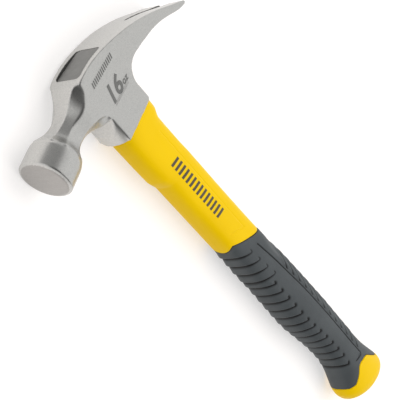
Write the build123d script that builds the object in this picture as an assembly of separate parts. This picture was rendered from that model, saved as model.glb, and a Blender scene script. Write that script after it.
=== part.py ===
from build123d import *
import math
import os

# A 16 oz curved-claw hammer on a fibreglass handle, lying on its side.
#
# While it is drawn, X runs along the handle towards the top of the head, with X = 0 at the
# bottom of the head. Y runs towards the striking face, with Y = 0 on the handle's centre line.
# Z is across the hammer, with Z = 0 on its middle plane. The last step lifts everything so that
# the origin is the middle of the bottom of the whole hammer's box.

# ---- head ---------------------------------------------------------------------------------
POLL_X = 30.2            # height of the poll's centre line
FACE_Y = 61.7            # striking face
FACE_R = 11.3            # flat disc of the striking face
RIM_R = 13.5             # poll barrel
RIM_Y = 60.6             # where the bevel round the face starts
BARREL_BACK_Y = 48.0     # where the barrel starts to close in on the neck
CROWN_X = 44.0           # top of the head at the eye
CHEEK_FRONT_Y = 15.4     # front of the cheeks
CHEEK_BACK_Y = -11.9     # back of the cheeks, at the bottom
CHEEK_HALF = 10.3        # half the head's thickness at the front of the cheeks
CLAW_TIP_Y = -73.8
CLAW_TIP_HALF = 13.4
SLOT_ROOT_Y = -43.5      # closed end of the nail slot
SLOT_ROOT_W = 1.3
SLOT_MOUTH_W = 7.4
NOSE_BULGE = 2.6         # how far the front of the eye swells out past the cheeks
SPAN = 40.0              # a length that clears the whole head

# the neck's eight-sided section: place along Y, then half height and half width of the top
# flat, then half height and half width of the side flat
NECK = [
    (15.2, 13.7, 9.9, 13.2, 10.3),
    (18.5, 13.6, 6.8, 6.6, 10.4),
    (23.0, 11.1, 5.0, 5.0, 10.5),
    (28.0, 8.6, 4.0, 4.4, 9.2),
    (34.5, 7.8, 3.7, 4.4, 7.5),
    (39.5, 8.7, 3.9, 4.4, 8.2),
    (43.5, 10.4, 4.7, 5.2, 10.1),
    (46.5, 11.9, 5.6, 6.2, 12.0),
]

# ---- eye, core and bonding resin ------------------------------------------------------------
EYE_CENTRE_Y = -0.4
EYE_TOP = (24.0, 15.6)       # length along Y and width along Z at the crown
EYE_BOTTOM = (19.6, 12.6)    # the same at the bottom of the head
EYE_TOP_R = 2.2
CROWN_SLOPE = 8.0            # the crown falls towards the claw, in degrees
FILL_TOP_X = 41.4            # top of the resin at the eye's middle, just below the crown
CORE_DEPTH = 15.6            # fibreglass core, along Y
CORE_WIDTH = 10.2            # the same, along Z
CORE_TOP_X = 34.5
CORE_BOTTOM_X = -262.0

# ---- jacket and grip ------------------------------------------------------------------------
# sections: height X, front Y, back Y, half thickness Z, corner radius
JACKET = [
    (0.0, 15.0, -14.6, 9.7, 7.2),
    (-4.0, 15.1, -15.8, 9.7, 7.2),
    (-8.5, 15.1, -15.7, 9.7, 7.2),
    (-14.0, 15.1, -13.6, 9.6, 7.0),
    (-24.0, 15.0, -13.5, 9.5, 7.0),
    (-36.0, 14.7, -13.6, 9.5, 7.0),
    (-44.0, 12.8, -13.8, 9.5, 7.0),
    (-70.0, 12.7, -13.8, 9.5, 7.0),
    (-100.0, 12.6, -13.8, 9.7, 7.2),
    (-126.0, 12.6, -14.4, 10.2, 7.6),
]
# sections: height X of the middle, middle Y, half depth, half thickness, tilt in degrees
GRIP = [
    (-94.0, -0.6, 13.2, 9.9, 0.0),
    (-112.0, -0.7, 13.4, 10.5, 0.0),
    (-130.0, -1.4, 14.4, 11.4, 0.0),
    (-150.0, -2.4, 15.4, 12.2, 0.0),
    (-170.0, -2.4, 16.1, 12.8, 0.0),
    (-186.0, -2.4, 16.4, 13.0, 0.0),
    (-204.0, -3.0, 15.7, 12.8, 0.0),
    (-222.0, -3.4, 14.5, 12.4, 0.0),
    (-238.0, -3.0, 14.2, 12.2, 1.0),
    (-250.0, -1.6, 15.9, 12.5, 4.0),
    (-260.0, -0.7, 18.6, 13.0, 11.0),
    (-268.0, -0.9, 21.2, 13.3, 18.0),
    (-274.5, -1.1, 22.9, 13.2, 22.0),
    (-279.0, -1.2, 21.6, 12.4, 22.4),
    (-282.6, -1.3, 16.6, 10.4, 22.4),
    (-284.8, -1.4, 9.8, 6.6, 22.4),
]
GRIP_TOP_X = -110.6          # where the grip's slanted top edge crosses the centre line
GRIP_TOP_SLANT = 37.0        # degrees, front edge nearer the head
GRIP_END_X = -263.5          # where the grip's bottom edge crosses the centre line
GRIP_END_SLANT = 14.0
SHANK_HALF = (9.4, 7.6)      # jacket under the grip: half depth and half thickness
SHANK_R = 5.0


def along_x(x, y=0.0, tilt=0.0):
    """Plane across the handle: its own X is the row's Y, its own Y is the row's Z."""
    lean = math.radians(tilt)
    return Plane(
        origin=(x, y, 0),
        x_dir=(math.sin(lean), math.cos(lean), 0),
        z_dir=(math.cos(lean), -math.sin(lean), 0),
    )


def octagon(y, top_half, top_width, side_half, side_width):
    """Eight-sided neck section around the poll's centre line."""
    corners = [(top_half, top_width), (side_half, side_width)]
    near_side = corners + [(-h, w) for h, w in reversed(corners)]
    far_side = [(h, -w) for h, w in reversed(near_side)]
    points = [(POLL_X + h, y, w) for h, w in near_side + far_side]
    return make_face(Polyline(*points, close=True))


def side_outline():
    """Cheeks and claw seen from the side, in the XY plane."""
    crown = Spline(
        (CROWN_X, CHEEK_FRONT_Y), (43.7, 5.2), (41.6, -6.8), (38.2, -18.0), (33.0, -31.4),
        (26.8, -43.7), (19.4, -55.7), (12.0, -66.2), (7.4, CLAW_TIP_Y + 0.9),
        tangents=[(0, -1), (-0.6, -0.8)],
    )
    tip = Polyline(crown @ 1, (6.2, CLAW_TIP_Y), (5.6, CLAW_TIP_Y + 1.4))
    under = Spline(
        tip @ 1, (7.2, -67.0), (11.7, -58.2), (16.9, -47.0), (19.5, -37.0), (21.1, -27.5),
        (20.9, -18.2), (16.6, -13.3), (9.0, CHEEK_BACK_Y),
    )
    rest = Polyline(
        under @ 1, (1.2, CHEEK_BACK_Y + 0.2), (0, CHEEK_BACK_Y + 1.6), (0, CHEEK_FRONT_Y),
        (8.0, CHEEK_FRONT_Y - 0.9), (12.0, CHEEK_FRONT_Y - 1.3), (30.0, CHEEK_FRONT_Y - 1.3),
        crown @ 0,
    )
    return make_face(Wire([crown] + tip.edges() + [under] + rest.edges()))


def arch_outline():
    """Web under the neck, whose lower edge is the arch between the cheeks and the poll."""
    arch = Spline(
        (10.0, 14.0), (15.2, 14.2), (19.3, 15.5), (23.0, 19.0), (25.0, 23.4), (26.0, 28.0),
    )
    rest = Polyline(
        arch @ 1, (POLL_X, 28.0), (POLL_X + 4.0, 16.0), (POLL_X, 10.0), (10.0, 10.0), arch @ 0,
    )
    return make_face(Wire([arch] + rest.edges()))


def plan_outline():
    """The head seen from its top, in the YZ plane: narrow in front, wide at the claw tips."""
    flare = Spline(
        (15.0, CHEEK_HALF), (-12.0, 11.4), (-40.0, 12.8), (-62.0, 13.3),
        (CLAW_TIP_Y - 1, CLAW_TIP_HALF),
    )
    neck = Spline((15.0, CHEEK_HALF), (23.0, 10.4), (28.0, 9.1))
    far_flare = flare.mirror(Plane.XZ)
    far_neck = neck.mirror(Plane.XZ)
    caps = [Line(flare @ 1, far_flare @ 1), Line(neck @ 1, far_neck @ 1)]
    flat = make_face(Wire([flare, neck, far_flare, far_neck] + caps))
    return Plane.YZ * flat


def poll():
    """Barrel with a bevelled rim round the flat striking face."""
    outline = Polyline(
        (0, BARREL_BACK_Y - 4.5), (10.6, BARREL_BACK_Y - 4.5), (12.4, BARREL_BACK_Y - 2.2),
        (13.3, BARREL_BACK_Y), (RIM_R, BARREL_BACK_Y + 2.5), (RIM_R, RIM_Y), (FACE_R, FACE_Y),
        (0, FACE_Y), close=True,
    )
    barrel = revolve(make_face(outline), Axis.Y)
    return Pos(POLL_X, 0, 0) * barrel


def nose():
    """Rounded front of the eye, below the arch."""
    edge_y = CHEEK_FRONT_Y - 0.6
    root_y = CHEEK_FRONT_Y - 4.0
    half = CHEEK_HALF - 0.4
    tip_y = CHEEK_FRONT_Y + NOSE_BULGE
    lens = make_face([
        ThreePointArc((edge_y, -half), (tip_y, 0), (edge_y, half)),
        Polyline((edge_y, half), (root_y, half), (root_y, -half), (edge_y, -half)),
    ])
    column = extrude(Plane.YZ * lens, SPAN / 2)
    top = Spline((0, tip_y + 0.6), (6.0, tip_y - 0.2), (11.0, tip_y - 1.6), (16.5, tip_y - 3.4))
    back = Polyline(top @ 1, (16.5, 10.0), (0, 10.0), top @ 0)
    envelope = extrude(make_face(Wire([top] + back.edges())), SPAN / 2, both=True)
    return column & envelope


def eye_opening():
    """Tapered hole through the head, wider at the crown."""
    bottom = along_x(-1.0, EYE_CENTRE_Y) * RectangleRounded(*EYE_BOTTOM, EYE_TOP_R)
    top = along_x(CROWN_X + 2, EYE_CENTRE_Y) * RectangleRounded(*EYE_TOP, EYE_TOP_R)
    return loft([bottom, top])


def nail_slot():
    """V between the claws, cut straight through them."""
    root = SLOT_ROOT_W / 2
    mouth = SLOT_MOUTH_W / 2
    end = CLAW_TIP_Y - 2
    flat = make_face([
        Polyline((SLOT_ROOT_Y, -root), (end, -mouth), (end, mouth), (SLOT_ROOT_Y, root)),
        ThreePointArc((SLOT_ROOT_Y, root), (SLOT_ROOT_Y + root, 0), (SLOT_ROOT_Y, -root)),
    ])
    return extrude(Plane.YZ * flat, CROWN_X + SPAN)


def hammer_head():
    plan = extrude(Plane((-SPAN / 2, 0, 0)) * plan_outline(), CROWN_X + SPAN)
    body = extrude(side_outline() + arch_outline(), SPAN / 2, both=True) & plan
    neck = loft([octagon(*station) for station in NECK])
    return body + neck + poll() + nose() - eye_opening() - nail_slot()


def fibreglass_core():
    blank = along_x(CORE_BOTTOM_X, EYE_CENTRE_Y) * Ellipse(CORE_DEPTH / 2, CORE_WIDTH / 2)
    return extrude(blank, CORE_TOP_X - CORE_BOTTOM_X)


def eye_resin(head, core):
    """Resin that fills the eye round the core and caps it, just below the crown."""
    surface = along_x(FILL_TOP_X, EYE_CENTRE_Y, CROWN_SLOPE)
    fill = split(eye_opening(), surface, keep=Keep.BOTTOM)
    fill = split(fill, along_x(0), keep=Keep.TOP)
    return fill - core


def rounded_section(x, front, back, half_z, corner):
    return along_x(x, (front + back) / 2) * RectangleRounded(front - back, 2 * half_z, corner)


def oval_section(x, y, half_depth, half_z, tilt):
    return along_x(x, y, tilt) * Ellipse(half_depth, half_z)


def grip_top_plane():
    return along_x(GRIP_TOP_X, 0, GRIP_TOP_SLANT)


def grip_end_plane():
    return along_x(GRIP_END_X, 0, GRIP_END_SLANT)


def palm_swell():
    """Outer shape of grip and butt together."""
    return loft([oval_section(*station) for station in GRIP])


def handle_jacket(swell, core):
    """Moulded plastic over the core: bare above the grip, a thin shank in it, bare at the butt."""
    bare = loft([rounded_section(*station) for station in JACKET], ruled=True)
    bare = split(bare, grip_top_plane(), keep=Keep.TOP)
    butt = split(swell, grip_end_plane(), keep=Keep.BOTTOM)
    shank_blank = along_x(GRIP_END_X - 12, EYE_CENTRE_Y) * RectangleRounded(
        2 * SHANK_HALF[0], 2 * SHANK_HALF[1], SHANK_R)
    shank = extrude(shank_blank, GRIP_TOP_X - GRIP_END_X + 30)
    return bare + shank + butt - core


def rubber_grip(swell, jacket, core):
    sleeve = split(swell, grip_top_plane(), keep=Keep.BOTTOM)
    sleeve = split(sleeve, grip_end_plane(), keep=Keep.TOP)
    return sleeve - jacket - core


def main():
    head = hammer_head()
    core = fibreglass_core()
    swell = palm_swell()
    jacket = handle_jacket(swell, core)
    pieces = {
        "hammer_head": head,
        "fibreglass_core": core,
        "eye_resin": eye_resin(head, core),
        "handle_jacket": jacket,
        "rubber_grip": rubber_grip(swell, jacket, core),
    }
    box = Compound(children=[Compound(p.solids()) for p in pieces.values()]).bounding_box()
    lift = Pos(-box.center().X, -box.center().Y, -box.min.Z)
    os.makedirs("parts", exist_ok=True)
    for name, piece in pieces.items():
        export_step(lift * Compound(piece.solids()), f"parts/{name}.step")
        print(name, len(piece.solids()), round(piece.volume / 1000, 2), "cm3")
    print("box", box.min, box.max)


main()
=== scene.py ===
import math

import bmesh
import bpy
import numpy as np
from mathutils import Matrix, Vector
from mathutils.bvhtree import BVHTree


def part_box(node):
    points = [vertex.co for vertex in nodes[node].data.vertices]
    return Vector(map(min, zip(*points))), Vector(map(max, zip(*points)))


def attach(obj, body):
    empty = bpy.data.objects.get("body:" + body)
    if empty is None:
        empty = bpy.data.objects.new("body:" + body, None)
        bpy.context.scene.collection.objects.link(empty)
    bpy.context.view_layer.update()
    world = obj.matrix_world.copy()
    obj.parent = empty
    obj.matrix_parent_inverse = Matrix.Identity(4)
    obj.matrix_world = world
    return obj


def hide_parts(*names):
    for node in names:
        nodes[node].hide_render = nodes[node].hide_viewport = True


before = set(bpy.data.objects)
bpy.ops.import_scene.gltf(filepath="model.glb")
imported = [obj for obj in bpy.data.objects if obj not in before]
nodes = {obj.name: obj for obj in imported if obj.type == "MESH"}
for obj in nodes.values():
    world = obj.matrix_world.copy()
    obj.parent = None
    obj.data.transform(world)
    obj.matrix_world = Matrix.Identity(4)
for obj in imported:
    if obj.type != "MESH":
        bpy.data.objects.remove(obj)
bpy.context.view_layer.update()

# A claw hammer lying on its side. Lengths below are in millimetres in the hammer's own frame:
# X along the handle towards the top of the head (0 at the bottom of the head), Y towards the
# striking face (0 on the handle's centre line), Z across (0 on the middle plane).
MM = 0.001
FACE_Y = 61.7
head_low, head_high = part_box("hammer_head")
ORIGIN = Vector((head_low[0], head_high[1] - FACE_Y * MM, (head_low[2] + head_high[2]) / 2))

# ---- camera: places in millimetres, roll in degrees, lens in millimetres --------------------
CAMERA_AT = (317.156, 302.063, 366.459)
CAMERA_AIM = (-73.014, -0.734, 0.0)
CAMERA_ROLL = -85.683
CAMERA_LENS = 100.424

# ---- handle sections ----------------------------------------------------------------------
# bare shaft: height X, front Y, back Y, half thickness Z
SHAFT = [
    (-126.0, 12.5, -14.8, 10.2),
    (-100.0, 12.6, -14.3, 9.7),
    (-70.0, 12.7, -14.0, 9.5),
    (-44.0, 12.7, -13.8, 9.5),
    (-40.0, 13.8, -13.7, 9.5),
    (-36.0, 14.7, -13.5, 9.5),
    (-20.0, 15.0, -13.4, 9.5),
    (-14.5, 15.0, -13.5, 9.5),
    (-11.0, 15.1, -14.9, 9.6),
    (-8.5, 15.1, -16.2, 9.7),
    (-4.0, 15.0, -16.3, 9.8),
    (0.5, 14.9, -15.0, 9.8),
]
SHAFT_SQUARE = 3.0         # squareness of the bare shaft; 2 is an ellipse

# grip and butt: height X, middle Y, half depth, half thickness Z, tilt in degrees, squareness
SWELL = [
    (-94.0, -0.85, 13.45, 9.7, 0.0, 3.0),
    (-112.0, -1.1, 13.5, 10.05, 0.0, 2.95),
    (-130.0, -1.4, 14.4, 11.3, 0.0, 2.5),
    (-150.0, -2.4, 15.4, 12.2, 0.0, 2.3),
    (-170.0, -2.4, 16.1, 12.8, 0.0, 2.2),
    (-186.0, -2.4, 16.4, 13.0, 0.0, 2.2),
    (-204.0, -3.4, 15.7, 12.8, 0.0, 2.2),
    (-222.0, -4.0, 14.5, 12.4, 0.0, 2.2),
    (-238.0, -3.8, 14.1, 12.2, 1.0, 2.2),
    (-250.0, -2.4, 15.7, 12.5, 4.0, 2.2),
    (-260.0, -1.2, 18.3, 13.0, 11.0, 2.2),
    (-268.0, -0.9, 21.2, 13.3, 18.0, 2.2),
    (-274.5, -1.1, 22.9, 13.2, 22.0, 2.2),
    (-279.0, -1.2, 22.3, 12.4, 22.4, 2.2),
    (-282.6, -1.3, 18.0, 10.9, 22.4, 2.2),
    (-284.8, -1.4, 11.0, 7.2, 22.4, 2.2),
    (-285.4, -1.4, 4.6, 3.1, 22.4, 2.2),
    (-285.6, -1.4, 0.2, 0.15, 22.4, 2.2),
]

# edges of the rubber: the top one in front, as (angle round the handle from the front, height),
# and further back, as (Y, height); the bottom one as (angle, height)
TOP_FRONT = [(0, -107.0), (15, -105.8), (30, -104.4), (42, -103.6)]
TOP_SIDE = [(-14.0, -119.3), (-11.5, -118.7), (-9.0, -117.7), (-7.0, -116.5), (10.21, -103.6)]
END_EDGE = [(0, -264.8), (16, -265.5), (31, -266.6), (45, -266.4), (53, -264.4), (66, -260.4),
            (79, -256.6), (85, -256.4), (94, -257.3), (111, -259.6), (123, -264.9), (143, -271.4),
            (180, -273.0)]

ROUND = 256                # columns round the handle
EDGE_TURN = 42             # angle at which the top edge goes from one list to the other
EDGE_Y = (-0.6, 13.2)      # middle Y and half depth of the section that the top edge runs round
RUBBER_THICK = 1.7
SHANK_CLEAR = 0.1          # gap between the rubber's inside and the shank under it
LIP = 0.7                  # rounding of the edges where plastic and rubber meet
GAP = 0.16                 # half the gap between them
BORE = (7.85, 5.15)        # half depth and half thickness of the core's hole
BORE_END_X = -262.2
CORE_Y = -0.4              # middle of the core's hole and of the eye
JACKET_TOP_X = -0.06       # top of the jacket, just clear of the head

# ---- moulded detail -----------------------------------------------------------------------
RIB_PITCH = 8.25
RIB_COUNT = 17
LONG_RIBS = 4              # the first ribs reach further round the side
LONG_ROW = (-118.4, 75.0, 5.4)     # first hook's X, reach in degrees, bow over the front
SHORT_ROW = (-148.4, 57.0, 4.6)
HOOK_HALF = 2.2            # half the height of a rib's hooked end
HOOK_ROUND = 1.4           # radius of its corners
ARC_PER_DEGREE = 0.25      # length round the grip of one degree
NOTCH_PITCH = 8.2
NOTCH_COUNT = 13
NOTCH_TOP_X = -151.8
NOTCH_REACH = 84           # degrees round from the back that a notch leans over
NOTCH_LEAN = 14.0          # how much higher it is at the back
FULL_SHADE_CUT = 0.55       # depth at which a groove's painted shade is at its darkest
FLANK = 0.8                # the back of the grip is set in by this
SIDE_LINE = [(-119.7, -2.3), (-138.5, -3.6), (-153.0, -4.2), (-172.0, -5.3), (-188.0, -5.6),
             (-207.0, -6.0), (-233.0, -6.1), (-252.7, -5.8), (-253.6, -4.4), (-251.4, 1.4)]
PANEL_LINE = [(-16.5, -4.0), (-104.5, -3.9), (-96.5, 6.4)]

# ---- forging ------------------------------------------------------------------------------
EYE_WALLS = (12.6, 8.2)    # the walls of the eye lie within this of the middle, in Y and Z
SLOT_END_Y = -42.0         # the nail slot's walls lie past this
SLOT_WALLS_Z = 4.0
STRIKING_Y = 61.3          # the ground face lies past this

# ---- marks --------------------------------------------------------------------------------
MARK_Z = 20.0              # marks are drawn here and then dropped on to the part
MARK_LIFT = 0.07
MARK_LEAN = 0.25
READING = (-0.09, -1.0)    # direction in which the figures on the head read
BOLDER = 0.027             # how far the letters' edges move out, as a share of their size
CAPITAL = 0.72             # height of a figure as a share of its font size
LONGEST_EDGE = 0.7         # the letters' mesh is split until its edges are shorter


def at(x, y, z):
    """A point of the hammer's own frame, in metres in the row frame."""
    return ORIGIN + Vector((x, y, z)) * MM


# ---- small numeric helpers ----------------------------------------------------------------
def smooth(xs, ys, x):
    """Monotone cubic curve through the points; xs rises."""
    xs = np.asarray(xs, float)
    ys = np.asarray(ys, float)
    step = np.diff(xs)
    slope = np.diff(ys) / step
    both = slope[:-1] + slope[1:]
    turn = slope[:-1] * slope[1:]
    inner = np.where(turn > 0, 2 * turn / np.where(both == 0, 1, both), 0)
    tangent = np.concatenate([slope[:1], inner, slope[-1:]])
    k = np.clip(np.searchsorted(xs, x) - 1, 0, len(xs) - 2)
    t = np.clip((x - xs[k]) / step[k], 0, 1)
    value = (1 + 2 * t) * (1 - t) ** 2 * ys[k] + t * t * (3 - 2 * t) * ys[k + 1]
    return value + step[k] * (t * (1 - t) ** 2 * tangent[k] - t * t * (1 - t) * tangent[k + 1])


def fade(start, end, x):
    """0 at start, 1 at end, smooth between."""
    t = np.clip((x - start) / (end - start), 0, 1)
    return t * t * (3 - 2 * t)


def line_distance(x, y, points):
    """Distance from (x, y) to an open line through the points."""
    best = np.full(np.shape(x), 1e9)
    for (ax, ay), (bx, by) in zip(points, points[1:]):
        dx, dy = bx - ax, by - ay
        t = np.clip(((x - ax) * dx + (y - ay) * dy) / (dx * dx + dy * dy), 0, 1)
        best = np.minimum(best, np.hypot(x - ax - t * dx, y - ay - t * dy))
    return best


def power(x, exponent):
    return np.sign(x) * np.abs(x) ** exponent


def even_angles(square, depth, width):
    """Angles whose points are evenly spaced round a squared oval."""
    fine = np.linspace(0, 2 * math.pi, 4001)
    y = depth * power(np.cos(fine), 2 / square)
    z = width * power(np.sin(fine), 2 / square)
    run = np.concatenate([[0], np.cumsum(np.hypot(np.diff(y), np.diff(z)))])
    return np.interp(np.arange(ROUND) / ROUND * run[-1], run, fine)


# the columns that every ring shares: parameter angle, and angle from the front on either side
ANGLE = even_angles(2.4, 14.5, 11.0)
FOLD = np.degrees(np.where(ANGLE > math.pi, 2 * math.pi - ANGLE, ANGLE))
SIDE_Y = EDGE_Y[0] + EDGE_Y[1] * power(np.cos(ANGLE), 2 / SHAFT_SQUARE)
TOP_X = np.where(
    FOLD < EDGE_TURN,
    smooth(*zip(*TOP_FRONT), FOLD),
    smooth(*zip(*TOP_SIDE), SIDE_Y),
)
END_X = smooth(*zip(*END_EDGE), FOLD)


# ---- handle surfaces ----------------------------------------------------------------------
def oval(depth, width, square):
    """Offsets along the section's depth and width, and the outward direction there."""
    u = depth * power(np.cos(ANGLE), 2 / square)
    z = width * power(np.sin(ANGLE), 2 / square)
    nu = power(u / depth, square - 1) / depth
    nz = power(z / width, square - 1) / width
    size = np.hypot(nu, nz)
    return u, z, nu / size, nz / size


def shaft_points(x, inset):
    """Rows of points on the bare shaft; x and inset have a row for each ring."""
    columns = np.array(SHAFT).T
    front, back, half = (smooth(columns[0], c, x) for c in columns[1:])
    u, z, nu, nz = oval((front - back) / 2, half, SHAFT_SQUARE)
    y = (front + back) / 2 + u - nu * inset
    return np.stack([x, y, z - nz * inset], axis=-1)


class Swell:
    """Outside of the grip and butt, walked by the distance run along it from the top."""

    def __init__(self):
        self.columns = np.array(SWELL).T
        moves = np.hypot(np.diff(self.columns[0]), np.diff(self.columns[2]))
        self.run = np.concatenate([[0], np.cumsum(moves)])
        self.fine = np.linspace(0, self.run[-1], 3000)
        self.fine_x = smooth(self.run, self.columns[0], self.fine)

    def run_at(self, x):
        return np.interp(-x, -self.fine_x, self.fine)

    def points(self, run, relief=0.0):
        """Rows of points; relief stands out from the surface, or cuts into it where negative."""
        x, y, depth, width, tilt, square = (smooth(self.run, c, run) for c in self.columns)
        u, z, nu, nz = oval(depth, width, square)
        u = u + nu * relief
        z = z + nz * relief
        lean = np.radians(tilt)
        return np.stack([x + u * np.sin(lean), y + u * np.cos(lean), z], axis=-1)


swell = Swell()


def spread(start, end, count, lip_end=True):
    """Rows from start to end, closer together over the rounded lip at the start and, if
    lip_end, at the end. Returns the places and how far each row is set in."""
    steps = np.array([0.0, 0.06, 0.14, 0.28, 0.45, 0.7]) * LIP
    back_steps = steps[::-1] if lip_end else []
    sign = np.sign(end - start)
    first = start + sign * LIP
    last = end - sign * (LIP if lip_end else 0)
    body = first + (last - first) * np.linspace(0, 1, count)[:, None]
    places = [start + sign * d for d in steps] + list(body) + [end - sign * d for d in back_steps]
    sets = [lip_inset(d) for d in steps] + [0.0] * count + [lip_inset(d) for d in back_steps]
    return np.array(places), np.array(sets)[:, None] * np.ones(ROUND)


def lip_inset(distance):
    """How far a lip of radius LIP is set in, this far from the edge."""
    return LIP - math.sqrt(max(LIP ** 2 - (LIP - distance) ** 2, 0))


def flat_ring(x, depth, width):
    """Ring of the core's oval hole at one height."""
    y = CORE_Y + depth * np.cos(ANGLE)
    z = width * np.sin(ANGLE)
    return np.stack([np.full(ROUND, x), y, z], axis=-1)


def loft(name, rings, closed_loop=False, first_pole=None, last_pole=None):
    """Mesh through rings of points, with the ends closed by a point or joined to each other."""
    rows = len(rings)
    points = np.concatenate(rings)
    base = np.arange(ROUND)
    after = (base + 1) % ROUND
    faces = []
    for r in range(rows if closed_loop else rows - 1):
        a = r * ROUND
        b = (r + 1) % rows * ROUND
        faces += np.stack([a + base, b + base, b + after, a + after], axis=1).tolist()
    extra = []
    if first_pole is not None:
        extra.append(first_pole)
        faces += [(len(points), int(i), int(j)) for i, j in zip(base, after)]
    if last_pole is not None:
        extra.append(last_pole)
        end = (rows - 1) * ROUND
        tip = len(points) + len(extra) - 1
        faces += [(tip, int(end + j), int(end + i)) for i, j in zip(base, after)]
    if extra:
        points = np.concatenate([points, np.array(extra)])
    mesh = bpy.data.meshes.new(name)
    mesh.from_pydata((points * MM + np.array(ORIGIN)).tolist(), [], faces)
    mesh.validate()
    return add_object(name, mesh)


def add_object(name, mesh):
    obj = bpy.data.objects.new(name, mesh)
    bpy.context.scene.collection.objects.link(obj)
    mesh.shade_smooth()
    return obj


# ---- moulded relief -----------------------------------------------------------------------
def rib_relief(x):
    """Overlapping tongues across the front of the grip, each cut by a groove along its lower edge.
    Returns how far they rise and how deep they are cut."""
    rise = np.zeros(x.shape)
    cut = np.zeros(x.shape)
    around = FOLD * ARC_PER_DEGREE
    front = np.cos(np.clip(FOLD / 80, 0, 1) * math.pi / 2)
    for i in range(RIB_COUNT):
        long_rib = i < LONG_RIBS
        first_x, reach, bow = LONG_ROW if long_rib else SHORT_ROW
        hook_x = first_x - RIB_PITCH * (i if long_rib else i - LONG_RIBS)
        crest = hook_x + bow * np.cos(np.clip(FOLD / reach, 0, 1) * math.pi / 2)
        above = x - crest
        along = np.abs(above - HOOK_HALF) - HOOK_HALF + HOOK_ROUND
        across = around - reach * ARC_PER_DEGREE + HOOK_ROUND
        outside = np.hypot(np.maximum(along, 0), np.maximum(across, 0))
        edge = outside + np.minimum(np.maximum(along, across), 0) - HOOK_ROUND
        lower = fade(3.6, 1.2, above)
        # grooves are cut wider and deeper towards the front, which also deepens their painted shade
        # there
        width = 0.3 + 0.9 * front
        cut += (0.35 + 0.9 * front) * lower * np.exp(-(edge / width) ** 2)
        tongue = fade(-0.2, 0.5, above) * fade(7.5, 0.8, above) * fade(reach + 3, reach - 9, FOLD)
        rise += (0.1 + 0.75 * front) * tongue
    return rise, cut


def notch_relief(x, y):
    """Slanted notches across the back of the grip, behind the side line. Returns how far they
    rise and how deep they are cut."""
    rise = np.zeros(x.shape)
    cut = np.zeros(x.shape)
    line_x, line_y = zip(*SIDE_LINE[::-1])
    inside = fade(0.9, 1.9, np.interp(x, line_x, line_y) - y)
    from_back = np.clip((180 - FOLD) / NOTCH_REACH, 0, 1)
    lean = NOTCH_LEAN * np.cos(from_back * math.pi / 2)
    for j in range(NOTCH_COUNT):
        above = x - (NOTCH_TOP_X - NOTCH_PITCH * j + lean)
        cut += inside * 1.2 * np.exp(-(above / 1.2) ** 2)
        rise += inside * 0.5 * fade(-0.2, 0.5, above) * fade(7.0, 1.0, above)
    return rise, cut


def grip_relief(x, points):
    """How far the grip's surface stands out from its plain outline, in millimetres, and how
    much painted shade its grooves get, from 0 to 1."""
    rib_rise, rib_cut = rib_relief(x)
    notch_rise, notch_cut = notch_relief(x, points[..., 1])
    side = fade(60, 68, FOLD) * fade(128, 120, FOLD)
    distance = line_distance(x, points[..., 1], SIDE_LINE)
    line = 0.8 * side * np.exp(-(distance / 0.34) ** 2)
    flank = -FLANK * fade(104, 122, FOLD) * fade(-122, -140, x) * fade(-250, -205, x)
    cut = rib_cut + notch_cut + line
    return rib_rise + notch_rise + flank - cut, np.clip(cut / FULL_SHADE_CUT, 0, 1)


def shaft_relief(x, points):
    """The fine line round the flat panel on each side of the bare shaft."""
    side = fade(50, 60, FOLD) * fade(130, 120, FOLD)
    distance = line_distance(x, points[..., 1], PANEL_LINE)
    return -0.3 * side * np.exp(-(distance / 0.3) ** 2)


# ---- handle pieces ------------------------------------------------------------------------
def build_jacket():
    """Plastic jacket: hole for the core, bare shaft, thin shank under the rubber, butt."""
    rings = [flat_ring(x, *BORE) for x in np.linspace(BORE_END_X, JACKET_TOP_X, 40)]
    x, inset = spread(np.full(ROUND, JACKET_TOP_X), TOP_X + GAP, 300)
    bare = shaft_points(x, inset)
    rings += list(shaft_points(x, inset - shaft_relief(x, bare)))
    top_run = swell.run_at(TOP_X + GAP)
    end_run = swell.run_at(END_X - GAP)
    shank = top_run + (end_run - top_run) * np.linspace(0, 1, 60)[:, None]
    rings += list(swell.points(shank, -(RUBBER_THICK + SHANK_CLEAR)))
    run, inset = spread(end_run, np.full(ROUND, swell.run[-1] - 0.05), 90, lip_end=False)
    rings += list(swell.points(run, -inset))
    hole_end = (BORE_END_X, CORE_Y, 0)
    tip = swell.points(np.full((1, ROUND), swell.run[-1]))[0].mean(axis=0)
    return loft("jacket_yellow", rings, first_pole=hole_end, last_pole=tip)


def build_grip():
    """Rubber sleeve, with ribs, notches and the fine line along each side."""
    top_run = swell.run_at(TOP_X - GAP)
    end_run = swell.run_at(END_X + GAP)
    run, inset = spread(top_run, end_run, 560)
    x = np.interp(run, swell.fine, swell.fine_x)
    plain = swell.points(run)
    near_edge = np.minimum(fade(0.4, 2.0, run - top_run), fade(0.4, 2.0, end_run - run))
    relief, cut = grip_relief(x, plain)
    relief = relief * near_edge
    rings = list(swell.points(run, relief - inset))
    inner = end_run + (top_run - end_run) * np.linspace(0, 1, 60)[:, None]
    rings += list(swell.points(inner, -RUBBER_THICK))
    sleeve = loft("grip_rubber", rings, closed_loop=True)
    # painted shade for the grooves, stored on the outer points as the groove attribute
    depth = np.zeros(len(sleeve.data.vertices))
    depth[:cut.size] = (cut * near_edge).ravel()
    groove = sleeve.data.attributes.new("groove", "FLOAT", "POINT")
    groove.data.foreach_set("value", depth.astype(np.float32))
    return sleeve


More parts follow.
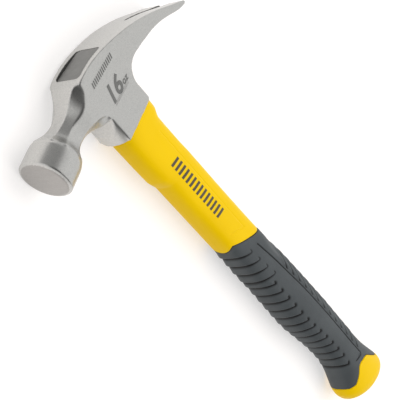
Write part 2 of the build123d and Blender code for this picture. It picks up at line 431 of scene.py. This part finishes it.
def soften(obj, name, voxel, passes, soft_weight, soft_passes):
    """A finely remeshed copy of obj, with its sharp edges worn round, and worn more where
    soft_weight of a point is above 0."""
    copy = bpy.data.objects.new(name, obj.data.copy())
    bpy.context.scene.collection.objects.link(copy)
    copy.data.materials.clear()
    remesh = copy.modifiers.new("remesh", "REMESH")
    remesh.mode = "VOXEL"
    remesh.voxel_size = voxel
    bake(copy)
    group = copy.vertex_groups.new(name="soft")
    for vertex in copy.data.vertices:
        weight = soft_weight(vertex.co)
        if weight > 0.01:
            group.add([vertex.index], weight, "REPLACE")
    melt = copy.modifiers.new("melt", "SMOOTH")
    melt.factor = 0.5
    melt.iterations = soft_passes
    melt.vertex_group = "soft"
    ease = copy.modifiers.new("ease", "SMOOTH")
    ease.factor = 0.5
    ease.iterations = passes
    bake(copy)
    copy.vertex_groups.clear()
    copy.data.shade_smooth()
    return copy


def bake(obj):
    """Applies an object's modifiers."""
    shape = obj.evaluated_get(bpy.context.evaluated_depsgraph_get())
    obj.data = bpy.data.meshes.new_from_object(shape)
    obj.modifiers.clear()


def neck_weight(point):
    """How much more a point is worn: 1 over the upper sides of the neck and over the nose in
    front of the eye, less under the neck, 0 elsewhere."""
    x, y, z = (point - ORIGIN) / MM
    upper = fade(20.0, 27.0, x)
    length = fade(13.5, 18.0, y + 2.5 * upper) * fade(50.0, 46.0, y)
    neck = length * fade(6.8, 8.8, abs(z)) * (0.4 + 0.6 * upper)
    nose = fade(13.0, 14.0, y) * fade(18.5, 15.0, x) * fade(0.4, 1.6, x)
    return float(max(neck, nose))


def finish_faces(mesh):
    """Gives the eye and slot walls the dark forged finish, which also stands in for the shade down
    in them, and the striking face its ground one, whose darker tone is painted shade.
    """
    for polygon in mesh.polygons:
        x, y, z = (polygon.center - ORIGIN) / MM
        normal = polygon.normal
        inward = normal.y * (y - CORE_Y) + normal.z * z < 0
        near_eye = abs(y) < EYE_WALLS[0] and abs(z) < EYE_WALLS[1]
        in_eye = inward and near_eye and abs(normal.x) < 0.6
        in_slot = y < SLOT_END_Y and abs(z) < SLOT_WALLS_Z and abs(normal.z) > 0.75
        if in_eye or in_slot:
            # dark forged scale that also serves as painted shade in the eye and nail slot
            polygon.material_index = 1
        elif y > STRIKING_Y:
            # ground face, whose darker base tone is painted shade
            polygon.material_index = 2


# ---- mark pieces --------------------------------------------------------------------------
def lay_on(obj, target):
    """Drops each point of obj along -Z on to target, then lifts it a little."""
    shape = bmesh.new()
    shape.from_mesh(target.data)
    tree = BVHTree.FromBMesh(shape)
    shape.free()
    for vertex in obj.data.vertices:
        above = Vector((vertex.co.x, vertex.co.y, vertex.co.z + 0.05))
        hit = tree.ray_cast(above, Vector((0, 0, -1)))[0]
        if hit:
            vertex.co.z = hit.z + MARK_LIFT * MM


def bar_row(name, start, step, count, size):
    """Row of slanted bars: start and step are (x, y), size is (width, height)."""
    mesh = bpy.data.meshes.new(name)
    points = []
    faces = []
    cells = 10
    length = math.hypot(*step)
    ux = step[0] / length
    uy = step[1] / length
    for i in range(count):
        first = len(points)
        for j in range(cells + 1):
            up = size[1] * j / cells
            for side in (-size[0] / 2, size[0] / 2):
                run = side + MARK_LEAN * (up - size[1] / 2)
                x = start[0] + step[0] * i + ux * run - uy * up
                y = start[1] + step[1] * i + uy * run + ux * up
                points.append(at(x, y, MARK_Z))
        for j in range(cells):
            a = first + 2 * j
            faces.append((a, a + 1, a + 3, a + 2))
    mesh.from_pydata(points, [], faces)
    return add_object(name, mesh)


def build_text(name, words, corner, along, height):
    """Flat lettering whose baseline starts at corner and runs in direction along."""
    curve = bpy.data.curves.new(name, "FONT")
    curve.body = words
    curve.size = height / CAPITAL
    curve.shear = MARK_LEAN
    curve.offset = BOLDER * curve.size
    curve.space_character = 1.06
    holder = bpy.data.objects.new(name, curve)
    bpy.context.scene.collection.objects.link(holder)
    shape = holder.evaluated_get(bpy.context.evaluated_depsgraph_get())
    mesh = bpy.data.meshes.new_from_object(shape)
    bpy.data.objects.remove(holder)
    bpy.data.curves.remove(curve)
    angle = math.atan2(along[1], along[0])
    turn = Matrix.Rotation(angle, 4, "Z")
    for vertex in mesh.vertices:
        place = turn @ vertex.co
        vertex.co = at(corner[0] + place.x, corner[1] + place.y, MARK_Z)
    net = bmesh.new()
    net.from_mesh(mesh)
    for _ in range(6):
        bmesh.ops.triangulate(net, faces=net.faces)
        long_edges = [e for e in net.edges if e.calc_length() > LONGEST_EDGE * MM]
        bmesh.ops.subdivide_edges(net, edges=long_edges, cuts=1)
    net.to_mesh(mesh)
    net.free()
    mesh.name = name
    return add_object(name, mesh)


# ---- materials ----------------------------------------------------------------------------
class Nodes:
    """A material's node tree, with short calls to add and link nodes."""

    def __init__(self, name, colour, metallic, roughness):
        self.material = bpy.data.materials.new(name)
        self.material.use_nodes = True
        self.tree = self.material.node_tree
        self.shader = self.tree.nodes["Principled BSDF"]
        self.shader.inputs["Base Color"].default_value = (*colour, 1)
        self.shader.inputs["Metallic"].default_value = metallic
        self.shader.inputs["Roughness"].default_value = roughness
        self.where = self.add("ShaderNodeTexCoord").outputs["Object"]

    def add(self, kind, **settings):
        node = self.tree.nodes.new(kind)
        for key, value in settings.items():
            setattr(node, key, value)
        return node

    def link(self, source, target):
        self.tree.links.new(source, target)

    def stretched(self, scale):
        mapping = self.add("ShaderNodeMapping")
        mapping.inputs["Scale"].default_value = scale
        self.link(self.where, mapping.inputs["Vector"])
        return mapping.outputs["Vector"]

    def noise(self, scale, detail=3.0, rough=0.5, vector=None):
        node = self.add("ShaderNodeTexNoise")
        node.inputs["Scale"].default_value = scale
        node.inputs["Detail"].default_value = detail
        node.inputs["Roughness"].default_value = rough
        self.link(vector or self.where, node.inputs["Vector"])
        return node.outputs["Fac"]

    def ranged(self, source, low, high, start=0.3, end=0.7):
        node = self.add("ShaderNodeMapRange")
        node.inputs["From Min"].default_value = start
        node.inputs["From Max"].default_value = end
        node.inputs["To Min"].default_value = low
        node.inputs["To Max"].default_value = high
        self.link(source, node.inputs["Value"])
        return node.outputs["Result"]

    def colours(self, source, first, second, start=0.3, end=0.7):
        ramp = self.add("ShaderNodeValToRGB")
        ramp.color_ramp.elements[0].position = start
        ramp.color_ramp.elements[0].color = (*first, 1)
        ramp.color_ramp.elements[1].position = end
        ramp.color_ramp.elements[1].color = (*second, 1)
        self.link(source, ramp.inputs["Fac"])
        return ramp.outputs["Color"]

    def bump(self, heights):
        """Bumps in turn: (source, depth in millimetres, strength)."""
        normal = None
        for source, depth, strength in heights:
            node = self.add("ShaderNodeBump")
            node.inputs["Distance"].default_value = depth * MM
            node.inputs["Strength"].default_value = strength
            self.link(source, node.inputs["Height"])
            if normal:
                self.link(normal, node.inputs["Normal"])
            normal = node.outputs["Normal"]
        self.link(normal, self.shader.inputs["Normal"])


def steel_material():
    """Blasted and ground forging steel: fine grain and faint grinding lines."""
    m = Nodes("satin_steel", (0.6, 0.59, 0.57), 1.0, 0.36)
    grain = m.noise(1500, 4, 0.7)
    lines = m.noise(260, 4, 0.6, m.stretched((0.12, 6.0, 0.12)))
    tone = m.colours(grain, (0.485, 0.483, 0.467), (0.565, 0.56, 0.54), 0.4, 0.6)
    m.link(tone, m.shader.inputs["Base Color"])
    m.link(m.ranged(grain, 0.36, 0.26), m.shader.inputs["Roughness"])
    m.bump([(grain, 0.04, 0.35), (lines, 0.04, 0.4)])
    return m.material


def scale_and_shade_material():
    """Dark scale left in the eye and the nail slot, where no grinding reaches; painted near black
    so that it also stands in for the shade down in them.
    """
    m = Nodes("forged_scale_and_painted_shade", (0.08, 0.08, 0.075), 0.6, 0.6)
    scale = m.noise(700, 4, 0.65)
    tone = m.colours(scale, (0.05, 0.05, 0.047), (0.11, 0.108, 0.1))
    m.link(tone, m.shader.inputs["Base Color"])
    m.link(m.ranged(scale, 0.5, 0.7), m.shader.inputs["Roughness"])
    m.bump([(scale, 0.1, 0.5)])
    return m.material


def face_material():
    """Striking face: ground flat, a little duller than the rest, with fine scratches; its darker
    base tone is painted shade.
    """
    m = Nodes("ground_face", (0.42, 0.415, 0.4), 1.0, 0.4)
    grain = m.noise(1500, 4, 0.7)
    scratches = m.noise(300, 3, 0.6, m.stretched((5.0, 1.0, 0.4)))
    tone = m.colours(grain, (0.35, 0.336, 0.322), (0.41, 0.396, 0.382))
    m.link(tone, m.shader.inputs["Base Color"])
    m.link(m.ranged(scratches, 0.32, 0.44), m.shader.inputs["Roughness"])
    m.bump([(grain, 0.04, 0.4), (scratches, 0.03, 0.35)])
    return m.material


def plastic_material(name, colour, darker):
    """Moulded plastic, clouded very faintly, with a low sheen."""
    m = Nodes(name, colour, 0.0, 0.36)
    m.shader.inputs["Specular IOR Level"].default_value = 0.06
    cloud = m.noise(35, 2, 0.5)
    skin = m.noise(1500, 2, 0.5)
    m.link(m.colours(cloud, darker, colour), m.shader.inputs["Base Color"])
    m.link(m.ranged(cloud, 0.34, 0.42), m.shader.inputs["Roughness"])
    m.bump([(skin, 0.02, 0.25)])
    return m.material


def rubber_material():
    """Grey rubber with a fine matt grain, and painted shade down in the moulded grooves."""
    m = Nodes("grey_rubber", (0.06, 0.068, 0.071), 0.0, 0.55)
    m.shader.inputs["Specular IOR Level"].default_value = 0.45
    cloud = m.noise(60, 3, 0.55)
    grain = m.noise(1800, 3, 0.6)
    unshaded_tone = m.colours(cloud, (0.041, 0.048, 0.052), (0.053, 0.061, 0.065))
    # the groove attribute mixes the rubber towards black: painted shade in the grooves
    depth = m.add("ShaderNodeAttribute", attribute_name="groove")
    groove_shade = m.add("ShaderNodeMix", data_type="RGBA")
    groove_shade.inputs["B"].default_value = (0.004, 0.004, 0.004, 1)
    m.link(depth.outputs["Fac"], groove_shade.inputs["Factor"])
    m.link(unshaded_tone, groove_shade.inputs["A"])
    m.link(groove_shade.outputs["Result"], m.shader.inputs["Base Color"])
    m.link(m.ranged(grain, 0.48, 0.62), m.shader.inputs["Roughness"])
    m.bump([(grain, 0.05, 0.5)])
    return m.material


def resin_material():
    """Cast resin, mottled and dull."""
    m = Nodes("grey_resin", (0.2, 0.2, 0.19), 0.0, 0.5)
    cloud = m.noise(300, 4, 0.6)
    tone = m.colours(cloud, (0.17, 0.168, 0.16), (0.23, 0.228, 0.218))
    m.link(tone, m.shader.inputs["Base Color"])
    m.link(m.ranged(cloud, 0.42, 0.6), m.shader.inputs["Roughness"])
    m.bump([(cloud, 0.15, 0.4)])
    return m.material


def fibre_material():
    """Glass fibre rod, with strands along X."""
    m = Nodes("glass_fibre", (0.62, 0.56, 0.36), 0.0, 0.4)
    strands = m.noise(500, 3, 0.5, m.stretched((0.05, 1.0, 1.0)))
    tone = m.colours(strands, (0.45, 0.4, 0.24), (0.7, 0.65, 0.46))
    m.link(tone, m.shader.inputs["Base Color"])
    m.bump([(strands, 0.05, 0.4)])
    return m.material


def ink_material(name, colour):
    """Printed or etched mark, slightly speckled."""
    m = Nodes(name, colour, 0.0, 0.5)
    speckle = m.noise(1200, 3, 0.6)
    lighter = tuple(c * 1.35 for c in colour)
    m.link(m.colours(speckle, colour, lighter), m.shader.inputs["Base Color"])
    m.link(m.ranged(speckle, 0.42, 0.6), m.shader.inputs["Roughness"])
    m.bump([(speckle, 0.01, 0.2)])
    return m.material


def floor_material():
    """Pale floor that glows a little, so that shadows on it stay faint."""
    m = Nodes("pale_floor", (0.9, 0.9, 0.9), 0.0, 0.7)
    cloud = m.noise(3, 2, 0.5)
    tone = m.colours(cloud, (0.47, 0.445, 0.43), (0.48, 0.455, 0.44))
    m.link(tone, m.shader.inputs["Base Color"])
    m.shader.inputs["Emission Color"].default_value = (1, 1, 1, 1)
    m.shader.inputs["Emission Strength"].default_value = 0.56
    return m.material


def paint(obj, material):
    """Makes material the only one on obj."""
    obj.data.materials.clear()
    obj.data.materials.append(material)


def ride(obj):
    """Fixes obj to the part's one body."""
    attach(obj, "root")


# ---- build --------------------------------------------------------------------------------
steel = steel_material()
yellow = plastic_material("yellow_plastic", (0.765, 0.497, 0.0), (0.74, 0.475, 0.0))

head = soften(nodes["hammer_head"], "head_forging", 0.0004, 2, neck_weight, 40)
paint(head, steel)
head.data.materials.append(scale_and_shade_material())
head.data.materials.append(face_material())
finish_faces(head.data)
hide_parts("hammer_head")
ride(head)

jacket = build_jacket()
paint(jacket, yellow)
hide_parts("handle_jacket")
ride(jacket)

grip = build_grip()
paint(grip, rubber_material())
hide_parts("rubber_grip")
ride(grip)

resin = resin_material()
fibre = fibre_material()
for node, material in (("eye_resin", resin), ("fibreglass_core", fibre)):
    for place in nodes[node].material_slots:
        place.material = material

shaft_ink = ink_material("charcoal_ink", (0.05, 0.04, 0.02))
hatch = bar_row("shaft_hatch", (-35.0, 6.0), (-3.6, 0.0), 14, (1.8, 7.3))
lay_on(hatch, jacket)
paint(hatch, shaft_ink)
ride(hatch)

head_ink = ink_material("etched_grey", (0.1, 0.1, 0.095))
faint_ink = ink_material("faint_etch", (0.26, 0.255, 0.245))
head_marks = [
    (bar_row("head_hatch", (34.4, 10.2), (-0.09, -1.56), 14, (0.85, 3.1)), head_ink),
    (bar_row("head_fine_hatch", (17.4, 7.0), (-0.02, -0.82), 19, (0.34, 1.7)), faint_ink),
    (build_text("head_number", "16", (19.6, 9.7), READING, 9.5), head_ink),
    (build_text("head_unit", "oz", (19.2, -4.5), READING, 3.6), head_ink),
]
for mark, ink in head_marks:
    lay_on(mark, head)
    paint(mark, ink)
    ride(mark)

# ---- stage --------------------------------------------------------------------------------
# dim sides of the studio: direction, where they start and are full (cosines), and how dark
DIM_SIDES = [
    ((0.62, -0.5, 0.45), 0.74, 0.92, 0.4),
    ((0.34, 0.2, 0.92), 0.78, 0.93, 0.12),
    ((0.05, 0.74, 0.67), 0.84, 0.96, 0.2),
    ((-0.6, 0.62, 0.5), 0.82, 0.95, 0.2),
]


def add_area(name, place, aim, size, watts):
    """Round area light that doesn't show in the steel."""
    light = bpy.data.lights.new(name, "AREA")
    light.shape = "DISK"
    light.size = size
    light.energy = watts
    obj = bpy.data.objects.new(name, light)
    bpy.context.scene.collection.objects.link(obj)
    obj.visible_glossy = False
    obj.location = place
    obj.rotation_euler = (Vector(aim) - Vector(place)).to_track_quat("-Z", "Y").to_euler()


def build_world():
    """Bright soft studio surround with a few dim sides, so the facets of the steel read apart."""
    world = bpy.data.worlds.new("studio")
    bpy.context.scene.world = world
    world.use_nodes = True
    tree = world.node_tree
    back = tree.nodes["Background"]
    where = tree.nodes.new("ShaderNodeTexCoord")
    dim = None
    for toward, wide, full, shade in DIM_SIDES:
        dot = tree.nodes.new("ShaderNodeVectorMath")
        dot.operation = "DOT_PRODUCT"
        dot.inputs[1].default_value = Vector(toward).normalized()
        near = tree.nodes.new("ShaderNodeMapRange")
        near.interpolation_type = "SMOOTHSTEP"
        near.inputs["From Min"].default_value = wide
        near.inputs["From Max"].default_value = full
        near.inputs["To Min"].default_value = 1.0
        near.inputs["To Max"].default_value = shade
        tree.links.new(where.outputs["Generated"], dot.inputs[0])
        tree.links.new(dot.outputs["Value"], near.inputs["Value"])
        if dim:
            both = tree.nodes.new("ShaderNodeMath")
            both.operation = "MULTIPLY"
            tree.links.new(dim, both.inputs[0])
            tree.links.new(near.outputs["Result"], both.inputs[1])
            dim = both.outputs["Value"]
        else:
            dim = near.outputs["Result"]
    tree.links.new(dim, back.inputs["Color"])
    back.inputs["Strength"].default_value = 0.95


def build_camera():
    """The scene's camera, looking from CAMERA_AT at CAMERA_AIM."""
    camera = bpy.data.cameras.new("camera")
    camera.sensor_width = 36
    camera.lens = CAMERA_LENS
    camera.clip_start = 0.01
    obj = bpy.data.objects.new("camera", camera)
    bpy.context.scene.collection.objects.link(obj)
    place = at(*CAMERA_AT)
    ahead = (at(*CAMERA_AIM) - place).normalized()
    side = ahead.cross(Vector((0, 0, 1))).normalized()
    up = side.cross(ahead)
    roll = math.radians(CAMERA_ROLL)
    up = up * math.cos(roll) + side * math.sin(roll)
    right = ahead.cross(up)
    turn = Matrix((right, up, -ahead)).transposed().to_4x4()
    obj.matrix_world = Matrix.Translation(place) @ turn
    bpy.context.scene.camera = obj


floor_mesh = bpy.data.meshes.new("floor")
floor_mesh.from_pydata([(-3, -3, 0), (3, -3, 0), (3, 3, 0), (-3, 3, 0)], [], [(0, 1, 2, 3)])
floor = add_object("floor", floor_mesh)
paint(floor, floor_material())

build_world()
add_area("key", at(-140, -120, 850), at(-90, -20, 0), 1.8, 11)
add_area("fill", at(-120, 650, 420), at(-90, 0, 0), 1.2, 0.6)
build_camera()
bpy.context.scene.view_settings.view_transform = "Standard"
